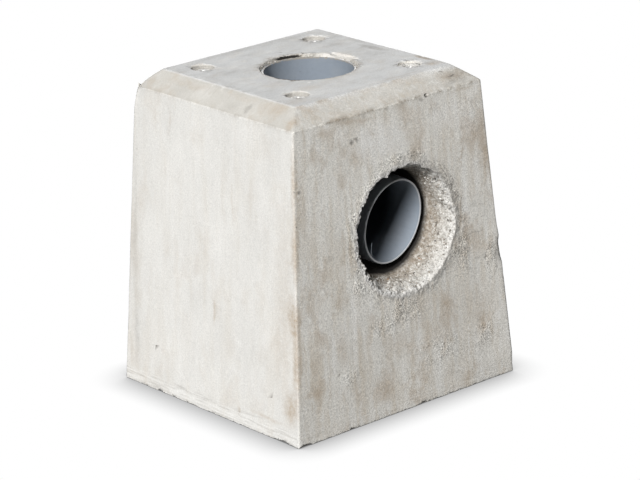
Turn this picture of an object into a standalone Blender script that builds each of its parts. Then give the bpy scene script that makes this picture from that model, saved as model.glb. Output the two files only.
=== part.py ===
# A precast concrete pier block with a moulded conduit bend and four fixing sockets cast in.
# Metres, +Z up. The origin is the middle of the flat base, and the outlet looks along -Y.

import math

import bmesh
import bpy
from mathutils import Matrix, Vector, geometry, noise

# Concrete casting: a truncated pyramid, steeper below the shoulder than above it
HEIGHT = 0.405
CHAMFER_HEIGHT = 0.021
BASE_LENGTH = 0.356
BASE_WIDTH = 0.341
SHOULDER_SIDE = 0.302
TOP_SIDE = 0.250
CORNER_ROUND = 0.002
ARRIS_ROUND = 0.0012

# Conduit bend: plain socket upwards, plain spigot sideways
PIPE_OUTER = 0.110
PIPE_WALL = 0.0032
SOCKET_BORE = 0.1112
SOCKET_DEPTH = 0.056
BELL_TAPER = 0.006
NECK_LENGTH = 0.007
BEND_RADIUS = 0.100
MOUTH_DROP = 0.004
MOUTH_SHIFT_Y = -0.005
OUTLET_YAW = math.radians(8.5)
OUTLET_SLOPE = math.radians(6.0)
RIM_SETBACK = 0.029

# Broken-out recess round the spigot: a wide lip at the side face, then a wall down to the floor
RECESS_RADIUS = 0.0795
RECESS_LIP_WIDTH = 0.007
RECESS_LIP_DEPTH = 0.016
RECESS_FLOOR_GAP = 0.006
RECESS_DEPTH = 0.068
RECESS_SHIFT_X = -0.008
RECESS_ROUGHNESS = 0.0022
RECESS_GRAIN = 0.024

# Ragged lip of concrete over the socket's mouth, and the flake that is worn off behind it
LIP_WIDTH = 0.0020
LIP_DEPTH = 0.0042
LIP_ROUGHNESS = 0.0008
LIP_GRAIN = 0.012
FLAKE_ANGLE = math.radians(6)
FLAKE_LENGTH = 0.052
FLAKE_WIDTH = 0.0136
FLAKE_DEPTH = 0.0040

# Fixing sockets for the base plate of a post
INSERT_SPACING = 0.180
INSERT_OUTER = 0.017
INSERT_BORE = 0.0102
INSERT_LENGTH = 0.060
INSERT_BORE_DEPTH = 0.045
INSERT_MOUTH_BEVEL = 0.001
INSERT_FOOT_OUTER = 0.027
INSERT_FOOT_THICKNESS = 0.004
INSERT_PROUD = 0.001
INSERT_RECESS_OUTER = 0.030
INSERT_RECESS_DEPTH = 0.005
INSERT_RECESS_DRAFT = 0.0012
INSERT_RECESS_ROUGHNESS = 0.0004
INSERT_RECESS_GRAIN = 0.008

# Gap between the concrete and what is cast into it
CAST_GAP = 0.0003

# How uneven a chipped flake is, and how many lumps it has across it
CHIP_UNEVENNESS = 0.35
CHIP_LUMPS = 1.6

# How finely round things are drawn
PIPE_SIDES = 40
BEND_STEPS = 12
RECESS_STEPS = 44
INSERT_STEPS = 24

SHOULDER_HEIGHT = HEIGHT - CHAMFER_HEIGHT

# How far a cutter runs on past the surface that it opens
OVERRUN = 0.012


def clear_scene():
    for old in list(bpy.data.objects):
        bpy.data.objects.remove(old, do_unlink=True)


def new_collection(name):
    collection = bpy.data.collections.new(name)
    bpy.context.scene.collection.children.link(collection)
    return collection


def add_object(name, mesh, collection):
    item = bpy.data.objects.new(name, mesh)
    collection.objects.link(item)
    return item


def mark_cutter(item):
    item.hide_render = True
    item.display_type = "WIRE"
    return item


def make_material(name, colour, roughness, metallic):
    material = bpy.data.materials.new(name)
    material.use_nodes = True
    shader = material.node_tree.nodes["Principled BSDF"]
    shader.inputs["Base Color"].default_value = (*colour, 1.0)
    shader.inputs["Roughness"].default_value = roughness
    shader.inputs["Metallic"].default_value = metallic
    material.diffuse_color = (*colour, 1.0)
    return material


def cut(target, cutter, name):
    boolean = target.modifiers.new(name, "BOOLEAN")
    boolean.operation = "DIFFERENCE"
    boolean.solver = "EXACT"
    boolean.object = cutter


def shade_round(mesh, angle=math.radians(35)):
    mesh.shade_smooth()
    mesh.set_sharp_from_angle(angle=angle)


# Corners of the casting, by side (-1 or 1 in X and in Y) and by level

def base_corner(side_x, side_y):
    return Vector((side_x * BASE_LENGTH / 2, side_y * BASE_WIDTH / 2, 0.0))


def shoulder_corner(side_x, side_y):
    return Vector((side_x * SHOULDER_SIDE / 2, side_y * SHOULDER_SIDE / 2, SHOULDER_HEIGHT))


def top_corner(side_x, side_y):
    return Vector((side_x * TOP_SIDE / 2, side_y * TOP_SIDE / 2, HEIGHT))


def outlet_face():
    """A point on the side that the outlet opens in, and that side's outward normal."""
    along = shoulder_corner(1, -1) - base_corner(1, -1)
    along.x = 0.0
    normal = Vector((1, 0, 0)).cross(along).normalized()
    return Vector((0, -BASE_WIDTH / 2, 0)), normal


# Path of the conduit's centre line: down the socket, round the bend and out of the side

def outlet_direction():
    flat = Vector((math.sin(OUTLET_YAW), -math.cos(OUTLET_YAW), 0))
    return flat * math.cos(OUTLET_SLOPE) - Vector((0, 0, math.sin(OUTLET_SLOPE)))


def bend_turn():
    return math.pi / 2 - OUTLET_SLOPE


def bend_start():
    """Where the straight upper leg ends and the bend begins."""
    upper_leg = SOCKET_DEPTH + BELL_TAPER + NECK_LENGTH
    return Vector((0, MOUTH_SHIFT_Y, HEIGHT - MOUTH_DROP - upper_leg))


def bend_point(angle):
    flat = Vector((math.sin(OUTLET_YAW), -math.cos(OUTLET_YAW), 0))
    centre = bend_start() + flat * BEND_RADIUS
    return centre - flat * BEND_RADIUS * math.cos(angle) - Vector((0, 0, BEND_RADIUS * math.sin(angle)))


def outlet_axis_at(depth):
    """Where the spigot's centre line is at a depth behind the side face."""
    point, normal = outlet_face()
    end = bend_point(bend_turn())
    return geometry.intersect_line_plane(end, end + outlet_direction(), point - normal * depth, normal)


def spigot_end(past_end=0.0):
    return outlet_axis_at(0) - outlet_direction() * (RIM_SETBACK - past_end)


def conduit_path(bell_radius, pipe_radius, taper, past_end):
    """Points of the centre line with the radius at each, from above the mouth to the rim."""
    mouth = Vector((0, MOUTH_SHIFT_Y, HEIGHT - MOUTH_DROP))
    down = Vector((0, 0, -1))
    path = [(mouth - down * past_end, bell_radius)]
    path.append((mouth + down * SOCKET_DEPTH, bell_radius))
    path.append((mouth + down * (SOCKET_DEPTH + taper), pipe_radius))
    for step in range(BEND_STEPS + 1):
        path.append((bend_point(bend_turn() * step / BEND_STEPS), pipe_radius))
    path.append((spigot_end(past_end), pipe_radius))
    return path


def swept_mesh(name, path):
    """A round bar swept along a path, its radius given at each point, as a closed mesh."""
    curve = bpy.data.curves.new(name, "CURVE")
    curve.dimensions = "3D"
    curve.bevel_depth = 1.0
    curve.bevel_resolution = (PIPE_SIDES - 4) // 2
    curve.use_fill_caps = True
    spline = curve.splines.new("POLY")
    spline.points.add(len(path) - 1)
    for point, (place, radius) in zip(spline.points, path):
        point.co = (*place, 1.0)
        point.radius = radius
    guide = bpy.data.objects.new(name, curve)
    bpy.context.scene.collection.objects.link(guide)
    evaluated = guide.evaluated_get(bpy.context.evaluated_depsgraph_get())
    mesh = bpy.data.meshes.new_from_object(evaluated)
    mesh.name = name
    bpy.data.objects.remove(guide, do_unlink=True)
    form = bmesh.new()
    form.from_mesh(mesh)
    bmesh.ops.remove_doubles(form, verts=form.verts, dist=0.00005)
    bmesh.ops.recalc_face_normals(form, faces=form.faces)
    form.to_mesh(mesh)
    form.free()
    return mesh


def turned_mesh(name, profile, steps):
    """A closed profile of (radius, height) points, both ends on the axis, turned about Z."""
    form = bmesh.new()
    points = [form.verts.new((radius, 0, height)) for radius, height in profile]
    edges = [form.edges.new(pair) for pair in zip(points, points[1:])]
    bmesh.ops.spin(form, geom=points + edges, cent=(0, 0, 0), axis=(0, 0, 1),
                   steps=steps, angle=2 * math.pi, use_merge=True)
    bmesh.ops.remove_doubles(form, verts=form.verts, dist=0.00002)
    bmesh.ops.recalc_face_normals(form, faces=form.faces)
    mesh = bpy.data.meshes.new(name)
    form.to_mesh(mesh)
    form.free()
    return mesh


def seeded_shift(seed):
    """Where in the endless noise a shape takes its lumps from."""
    return Vector((seed * 7.3, seed * 3.1, seed * 5.7))


def roughen(mesh, amount, grain, seed):
    """Push the points of a turned mesh in and out from its axis, as broken concrete is."""
    shift = seeded_shift(seed)
    for vertex in mesh.vertices:
        outward = Vector((vertex.co.x, vertex.co.y, 0))
        if outward.length > grain / 4:
            lumps = noise.noise(vertex.co / grain + shift)
            grit = noise.noise(vertex.co / grain * 3 + shift) / 2
            vertex.co += outward.normalized() * amount * (lumps + grit)


# Pier block

def pyramid_mesh():
    """The plain casting: a box drawn in to the shoulder, with a second, flatter step on top."""
    form = bmesh.new()
    bmesh.ops.create_cube(form, size=2.0)
    for vertex in form.verts:
        side_x, side_y, level = vertex.co
        corner = shoulder_corner if level > 0 else base_corner
        vertex.co = corner(math.copysign(1, side_x), math.copysign(1, side_y))
    lid = max(form.faces, key=lambda face: face.calc_center_median().z)
    raised = bmesh.ops.extrude_discrete_faces(form, faces=[lid])["faces"][0]
    for vertex in raised.verts:
        vertex.co = top_corner(math.copysign(1, vertex.co.x), math.copysign(1, vertex.co.y))
    form.normal_update()
    weights = form.edges.layers.float.new("bevel_weight_edge")
    for edge in form.edges:
        start, end = (vertex.co for vertex in edge.verts)
        upright = abs(start.z - end.z) > CHAMFER_HEIGHT / 2
        edge[weights] = 1.0 if upright else ARRIS_ROUND / CORNER_ROUND
    mesh = bpy.data.meshes.new("pier_block")
    form.to_mesh(mesh)
    form.free()
    return mesh


def recess_frame():
    """A matrix with its origin at the recess's centre on the side face and X and Y in that face.
    Z leans, so that one recess depth down it the centre is on the spigot's own centre line."""
    point, normal = outlet_face()
    centre = outlet_axis_at(0) + Vector((RECESS_SHIFT_X, 0, 0))
    lean = (centre - outlet_axis_at(RECESS_DEPTH)) / RECESS_DEPTH
    square = normal.to_track_quat("Z", "Y").to_matrix()
    leaning = Matrix((square.col[0], square.col[1], lean)).transposed()
    return Matrix.Translation(centre) @ leaning.to_4x4()


def recess_cutter(cutters):
    """The ragged hollow round the spigot: a wide broken lip, then a steeper wall to the floor."""
    lip_inner = RECESS_RADIUS - RECESS_LIP_WIDTH
    floor_radius = PIPE_OUTER / 2 + RECESS_FLOOR_GAP
    profile = [(0, OVERRUN), (RECESS_RADIUS, OVERRUN), (RECESS_RADIUS, CAST_GAP)]
    profile.append((RECESS_RADIUS - RECESS_LIP_WIDTH / 3, -RECESS_LIP_DEPTH / 3))
    profile.append((lip_inner, -RECESS_LIP_DEPTH))
    for share in (1 / 3, 2 / 3, 1):
        radius = lip_inner + (floor_radius - lip_inner) * share
        profile.append((radius, -RECESS_LIP_DEPTH - (RECESS_DEPTH - RECESS_LIP_DEPTH) * share))
    profile.append((0, -RECESS_DEPTH))
    mesh = turned_mesh("recess_cutter", profile, RECESS_STEPS)
    roughen(mesh, RECESS_ROUGHNESS, RECESS_GRAIN, seed=4)
    mesh.transform(recess_frame())
    return mark_cutter(add_object("recess_cutter", mesh, cutters))


def mouth_lip_radius():
    return SOCKET_BORE / 2 + PIPE_WALL + CAST_GAP + LIP_WIDTH


def lip_cutter(cutters):
    """The ragged edge of the concrete above the socket's rim."""
    outer = mouth_lip_radius()
    inner = outer - 2 * LIP_WIDTH
    depth = 2 * LIP_DEPTH
    profile = [(0, OVERRUN), (outer, OVERRUN), (outer, CAST_GAP), (inner, -depth), (0, -depth)]
    mesh = turned_mesh("lip_cutter", profile, RECESS_STEPS)
    roughen(mesh, LIP_ROUGHNESS, LIP_GRAIN, seed=9)
    mesh.transform(Matrix.Translation((0, MOUTH_SHIFT_Y, HEIGHT)))
    return mark_cutter(add_object("lip_cutter", mesh, cutters))


def chip_cutter(name, place, size, turn, seed, cutters):
    """An uneven lump that takes a flake out of an edge. Its size is given along three axes."""
    form = bmesh.new()
    bmesh.ops.create_icosphere(form, subdivisions=2, radius=1.0)
    shift = seeded_shift(seed)
    for vertex in form.verts:
        vertex.co *= 1 + CHIP_UNEVENNESS * noise.noise(vertex.co * CHIP_LUMPS + shift)
        vertex.co = Vector(size) * vertex.co
    form.transform(Matrix.Translation(place) @ turn.to_matrix().to_4x4())
    mesh = bpy.data.meshes.new(name)
    form.to_mesh(mesh)
    form.free()
    return mark_cutter(add_object(name, mesh, cutters))


# Flakes that are missing from the casting's edges: the edge's two ends, how far along it the
# flake lies, its length along the edge, and how deep it goes
EDGE_CHIPS = (
    (base_corner(-1, 1), base_corner(-1, -1), 0.21, 0.012, 0.0030),
    (base_corner(-1, 1), base_corner(-1, -1), 0.29, 0.007, 0.0022),
    (base_corner(-1, 1), base_corner(-1, -1), 0.91, 0.024, 0.0034),
    (base_corner(-1, -1), base_corner(1, -1), 0.03, 0.020, 0.0036),
    (base_corner(-1, -1), base_corner(1, -1), 0.24, 0.016, 0.0024),
    (base_corner(-1, -1), base_corner(1, -1), 0.57, 0.013, 0.0030),
    (base_corner(1, -1), shoulder_corner(1, -1), 0.43, 0.036, 0.0042),
    (shoulder_corner(-1, -1), shoulder_corner(1, -1), 0.70, 0.006, 0.0022),
)


def edge_chips(cutters):
    chips = []
    for number, (start, end, share, length, depth) in enumerate(EDGE_CHIPS, start=1):
        turn = (end - start).to_track_quat("X", "Z")
        place = start.lerp(end, share)
        size = (length / 2, depth, depth)
        chips.append(chip_cutter(f"chip_{number}", place, size, turn, number, cutters))
    return chips


def mouth_flake(cutters):
    """The broad shallow flake at the back of the mouth."""
    reach = mouth_lip_radius()
    flat = Vector((math.cos(FLAKE_ANGLE), math.sin(FLAKE_ANGLE), 0))
    place = Vector((0, MOUTH_SHIFT_Y, HEIGHT)) + flat * reach
    turn = Matrix.Rotation(FLAKE_ANGLE + math.pi / 2, 3, "Z").to_quaternion()
    size = (FLAKE_LENGTH / 2, FLAKE_WIDTH / 2, FLAKE_DEPTH)
    return chip_cutter("mouth_flake", place, size, turn, 21, cutters)


def make_pier_block(parts, cutters, hollows):
    block = add_object("pier_block", pyramid_mesh(), parts)
    bevel = block.modifiers.new("rounded edges", "BEVEL")
    bevel.width = CORNER_ROUND
    bevel.segments = 2
    bevel.limit_method = "WEIGHT"
    tools = [*hollows, recess_cutter(cutters), lip_cutter(cutters), mouth_flake(cutters)]
    tools += edge_chips(cutters)
    for tool in tools:
        cut(block, tool, tool.name)
    block.data.materials.append(make_material("concrete", (0.52, 0.50, 0.46), 0.9, 0.0))
    return block


# Conduit bend

def make_conduit_bend(parts, cutters):
    outer_radius = PIPE_OUTER / 2
    bell_radius = SOCKET_BORE / 2 + PIPE_WALL
    body = swept_mesh("conduit_bend", conduit_path(bell_radius, outer_radius, BELL_TAPER, 0.0))
    bend = add_object("conduit_bend", body, parts)
    bore_path = conduit_path(SOCKET_BORE / 2, outer_radius - PIPE_WALL, PIPE_WALL / 2, OVERRUN)
    bore = mark_cutter(add_object("bend_bore", swept_mesh("bend_bore", bore_path), cutters))
    cut(bend, bore, "bore")
    shade_round(bend.data)
    bend.data.materials.append(make_material("grey_plastic", (0.20, 0.23, 0.27), 0.35, 0.0))
    return bend


def conduit_hollow(cutters):
    """The space that the bend fills in the concrete, with the casting gap all round it."""
    outer_radius = PIPE_OUTER / 2 + CAST_GAP
    bell_radius = SOCKET_BORE / 2 + PIPE_WALL + CAST_GAP
    path = conduit_path(bell_radius, outer_radius, BELL_TAPER, OVERRUN)
    return mark_cutter(add_object("conduit_hollow", swept_mesh("conduit_hollow", path), cutters))


# Threaded inserts

def insert_places():
    reach = INSERT_SPACING / 2
    top = HEIGHT - INSERT_RECESS_DEPTH + INSERT_PROUD
    return [Vector((x, y, top)) for y in (-reach, reach) for x in (-reach, reach)]


def insert_mesh():
    """A turned sleeve with a blind bore and a wide foot that anchors it. Its mouth is at Z 0."""
    bore = INSERT_BORE / 2
    outer = INSERT_OUTER / 2
    foot = INSERT_FOOT_OUTER / 2
    rim_bevel = INSERT_MOUTH_BEVEL / 2
    foot_top = -INSERT_LENGTH + INSERT_FOOT_THICKNESS
    profile = [(0, -INSERT_BORE_DEPTH - bore / 2), (bore, -INSERT_BORE_DEPTH)]
    profile += [(bore, -INSERT_MOUTH_BEVEL), (bore + INSERT_MOUTH_BEVEL, 0)]
    profile += [(outer - rim_bevel, 0), (outer, -rim_bevel), (outer, foot_top)]
    profile += [(foot, foot_top), (foot, -INSERT_LENGTH), (0, -INSERT_LENGTH)]
    mesh = turned_mesh("threaded_insert", profile, INSERT_STEPS)
    shade_round(mesh)
    return mesh


def insert_hollow(number, place, cutters):
    """The space that an insert fills in the concrete, open upwards into its recess."""
    outer = INSERT_OUTER / 2 + CAST_GAP
    foot = INSERT_FOOT_OUTER / 2 + CAST_GAP
    foot_top = -INSERT_LENGTH + INSERT_FOOT_THICKNESS + CAST_GAP
    bottom = -INSERT_LENGTH - CAST_GAP
    above = INSERT_RECESS_DEPTH / 2
    profile = [(0, above), (outer, above), (outer, foot_top)]
    profile += [(foot, foot_top), (foot, bottom), (0, bottom)]
    name = f"insert_hollow_{number}"
    mesh = turned_mesh(name, profile, INSERT_STEPS)
    mesh.transform(Matrix.Translation(place))
    return mark_cutter(add_object(name, mesh, cutters))


def insert_recess(number, place, cutters):
    """The shallow round recess that the socket's fixing disc leaves in the top face."""
    rim = INSERT_RECESS_OUTER / 2
    floor = rim - INSERT_RECESS_DRAFT
    slope = INSERT_RECESS_DRAFT * OVERRUN / INSERT_RECESS_DEPTH
    profile = [(0, OVERRUN), (rim + slope, OVERRUN)]
    profile += [(floor, -INSERT_RECESS_DEPTH), (0, -INSERT_RECESS_DEPTH)]
    name = f"insert_recess_{number}"
    mesh = turned_mesh(name, profile, INSERT_STEPS)
    roughen(mesh, INSERT_RECESS_ROUGHNESS, INSERT_RECESS_GRAIN, seed=number)
    mesh.transform(Matrix.Translation((place.x, place.y, HEIGHT)))
    return mark_cutter(add_object(name, mesh, cutters))


def make_threaded_inserts(parts):
    mesh = insert_mesh()
    mesh.materials.append(make_material("zinc_plated_steel", (0.62, 0.62, 0.60), 0.35, 1.0))
    for number, place in enumerate(insert_places(), start=1):
        insert = add_object(f"threaded_insert_{number}", mesh, parts)
        insert.location = place


def build():
    clear_scene()
    parts = new_collection("concrete_pier_block")
    cutters = new_collection("cutters")
    hollows = [conduit_hollow(cutters)]
    for number, place in enumerate(insert_places(), start=1):
        hollows.append(insert_hollow(number, place, cutters))
        hollows.append(insert_recess(number, place, cutters))
    make_pier_block(parts, cutters, hollows)
    make_conduit_bend(parts, cutters)
    make_threaded_inserts(parts)


build()
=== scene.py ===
"""Looks of the concrete pier block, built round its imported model. Metres, +Z up."""

import math

import bmesh
import bpy
import numpy as np
from mathutils import Matrix, Vector, noise


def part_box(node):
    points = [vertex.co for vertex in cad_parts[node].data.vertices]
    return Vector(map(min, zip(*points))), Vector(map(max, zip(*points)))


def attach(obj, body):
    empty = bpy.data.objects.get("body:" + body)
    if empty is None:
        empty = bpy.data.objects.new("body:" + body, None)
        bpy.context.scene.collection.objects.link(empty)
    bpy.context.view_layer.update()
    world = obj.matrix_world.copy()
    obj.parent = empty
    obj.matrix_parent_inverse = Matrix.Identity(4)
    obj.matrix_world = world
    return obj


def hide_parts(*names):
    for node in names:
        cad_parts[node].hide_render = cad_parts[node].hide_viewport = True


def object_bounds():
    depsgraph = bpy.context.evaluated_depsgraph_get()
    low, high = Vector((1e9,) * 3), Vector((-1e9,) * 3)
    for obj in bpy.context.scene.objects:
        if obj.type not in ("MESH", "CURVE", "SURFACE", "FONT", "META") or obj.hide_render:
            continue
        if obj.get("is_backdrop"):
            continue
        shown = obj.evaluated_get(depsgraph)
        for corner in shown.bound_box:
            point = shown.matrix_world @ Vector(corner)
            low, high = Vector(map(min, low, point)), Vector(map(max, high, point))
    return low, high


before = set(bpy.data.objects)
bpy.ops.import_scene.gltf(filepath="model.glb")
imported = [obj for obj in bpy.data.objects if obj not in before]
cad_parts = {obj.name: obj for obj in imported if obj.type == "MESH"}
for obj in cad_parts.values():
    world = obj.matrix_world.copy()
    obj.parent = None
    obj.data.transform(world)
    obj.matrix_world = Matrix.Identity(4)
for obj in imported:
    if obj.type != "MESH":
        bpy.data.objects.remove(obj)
cad_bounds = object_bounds()


# Pier block: its form
# One casting of grey concrete. Its sides come smooth from the mould and its top is trowelled.
# The hollow round the spigot and the lip of the mouth are broken stone, and its arrises are worn.

block_low, block_high = (Vector(corner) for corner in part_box("pier_block"))
TOP = block_high.z
SHOULDER = TOP - 0.021
SHOULDER_HALF = 0.151
TOP_HALF = 0.125
MOUTH_CENTRE = Vector((0.0, -0.005, TOP))
MOUTH_RADIUS = 0.0611
CUP_REACH = 0.090
CUP_RADIUS = 0.015
CUP_DEPTH = 0.005
OUTLET_YAW = math.radians(8.5)
OUTLET_SLOPE = math.radians(6.0)
BEND_RADIUS = 0.100
BEND_TOP = TOP - 0.073
RECESS_SHIFT_X = -0.008
RECESS_RADIUS = 0.0795
RECESS_DEPTH = 0.068
RECESS_FLOOR_RADIUS = 0.057
RECESS_UNEVENNESS = 0.004
INSERT_HOLLOW_DEPTH = 0.070

# The hollow that the bend lies in, and how far from a surface a point may be that lies on it
HOLLOW_RADIUS = 0.125
HOLLOW_HALF = 0.118
HOLLOW_FOOT = 0.100
ON_SURFACE = 0.0006
JUST_BELOW = 0.0004

heading = Vector((math.sin(OUTLET_YAW), -math.cos(OUTLET_YAW), 0))
outlet_direction = heading * math.cos(OUTLET_SLOPE) - Vector((0, 0, math.sin(OUTLET_SLOPE)))
bend_centre = Vector((0, MOUTH_CENTRE.y, BEND_TOP)) + heading * BEND_RADIUS
BEND_TURN = math.pi / 2 - OUTLET_SLOPE
face_slope = (block_high.y - SHOULDER_HALF) / SHOULDER
face_outward = Vector((0, -1, face_slope)).normalized()
face_point = Vector((0, -block_high.y, 0))


def bend_point(angle):
    """A point of the bend's centre line, from 0 at its top to a little under a right angle."""
    drop = Vector((0, 0, BEND_RADIUS * math.sin(angle)))
    return bend_centre - heading * BEND_RADIUS * math.cos(angle) - drop


def outlet_axis_at(depth):
    """Where the spigot's centre line is at a depth behind the side face."""
    start = bend_point(BEND_TURN)
    run = (face_point - face_outward * depth - start).dot(face_outward) / outlet_direction.dot(face_outward)
    return start + outlet_direction * run


recess_centre = outlet_axis_at(0) + Vector((RECESS_SHIFT_X, 0, 0))
recess_lean = (outlet_axis_at(RECESS_DEPTH) - recess_centre) / RECESS_DEPTH


def ring(half_x, half_y, height):
    """The four corners of one level of the casting, in order round it."""
    return [Vector((x * half_x, y * half_y, height)) for x, y in ((-1, -1), (1, -1), (1, 1), (-1, 1))]


levels = [ring(block_high.x, block_high.y, 0.0), ring(SHOULDER_HALF, SHOULDER_HALF, SHOULDER)]
levels.append(ring(TOP_HALF, TOP_HALF, TOP))
foot_arrises, shoulder_arrises, top_arrises = (
    [(level[i], level[(i + 1) % 4]) for i in range(4)] for level in levels)
rising_arrises = [(lower[i], upper[i]) for lower, upper in zip(levels, levels[1:]) for i in range(4)]
all_arrises = foot_arrises + shoulder_arrises + top_arrises + rising_arrises


def distance_to_lines(points, lines):
    """How far each point is from the nearest of some straight lines."""
    nearest = np.full(len(points), 1.0)
    for start, end in lines:
        start, end = np.array(start), np.array(end)
        along = end - start
        share = np.clip((points - start) @ along / (along @ along), 0, 1)
        gap = np.linalg.norm(points - start - share[:, None] * along, axis=1)
        nearest = np.minimum(nearest, gap)
    return nearest


def recess_place(points):
    """Each point's depth behind the side face, and its distance from the leaning recess's axis."""
    offset = points - np.array(recess_centre)
    depth = -(offset @ np.array(face_outward))
    across = offset - depth[:, None] * np.array(recess_lean)
    return depth, np.linalg.norm(across, axis=1)


def mouth_distance(points):
    """How far each point is, on plan, from the middle of the socket's mouth."""
    return np.linalg.norm(points[:, :2] - np.array(MOUTH_CENTRE.xy), axis=1)


def cup_distance(points):
    """How far each point is, on plan, from the middle of the nearest insert."""
    return np.linalg.norm(np.abs(points[:, :2]) - CUP_REACH, axis=1)


def on_recess_wall(points):
    """True where the surface is the recess's broken wall."""
    depth, radius = recess_place(points)
    within = (depth > ON_SURFACE) & (depth < RECESS_DEPTH + ON_SURFACE)
    return within & (radius < RECESS_RADIUS + RECESS_UNEVENNESS) & (radius > RECESS_FLOOR_RADIUS)


def round_the_recess(points):
    """How far each point of the side face is outside the recess's edge."""
    depth, radius = recess_place(points)
    return np.where(np.abs(depth) <= ON_SURFACE, radius - RECESS_RADIUS, 1.0)


def hidden(points):
    """True where the concrete only faces the bend or an insert cast into it."""
    height = points[:, 2]
    low = height < TOP - CUP_DEPTH - JUST_BELOW
    round_insert = low & (cup_distance(points) < CUP_RADIUS) & (height > TOP - INSERT_HOLLOW_DEPTH)
    round_bend = low & (height > HOLLOW_FOOT) & (mouth_distance(points) < HOLLOW_RADIUS)
    inside = np.max(np.abs(points[:, :2]), axis=1) < HOLLOW_HALF
    behind_recess = recess_place(points)[0] > RECESS_DEPTH + JUST_BELOW
    return round_insert | (round_bend & inside & behind_recess)


# Stains, scrapes, pits and scoured patches, each an ellipse on one face of the block.
# A row: its middle (by the face's two axes), half width and half height in millimetres, and its
# strength in percent. Then, where they aren't the usual ones, its turn in degrees, clockwise as
# seen from outside, and the softness of its edge in percent.
# A face: the axes that its marks are placed by, 1 or -1 as the first runs right or left on it, a
# point on it, and its outward direction.
USUAL_TURN_AND_SOFTNESS = (0, 90)
THROUGH = 0.006
left_outward = Vector((-1, 0, (block_high.x - SHOULDER_HALF) / SHOULDER)).normalized()
chamfer_run, chamfer_rise = SHOULDER_HALF - TOP_HALF, TOP - SHOULDER
FACES = {
    "left": ((1, 2), -1, Vector((-block_high.x, 0, 0)), left_outward),
    "front": ((0, 2), 1, face_point, face_outward),
    "top": ((0, 1), 1, MOUTH_CENTRE, Vector((0, 0, 1))),
    "left chamfer": ((1, 2), -1, levels[1][0], Vector((-chamfer_rise, 0, chamfer_run)).normalized()),
    "front chamfer": ((0, 2), 1, levels[1][0], Vector((0, -chamfer_rise, chamfer_run)).normalized()),
}
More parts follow.
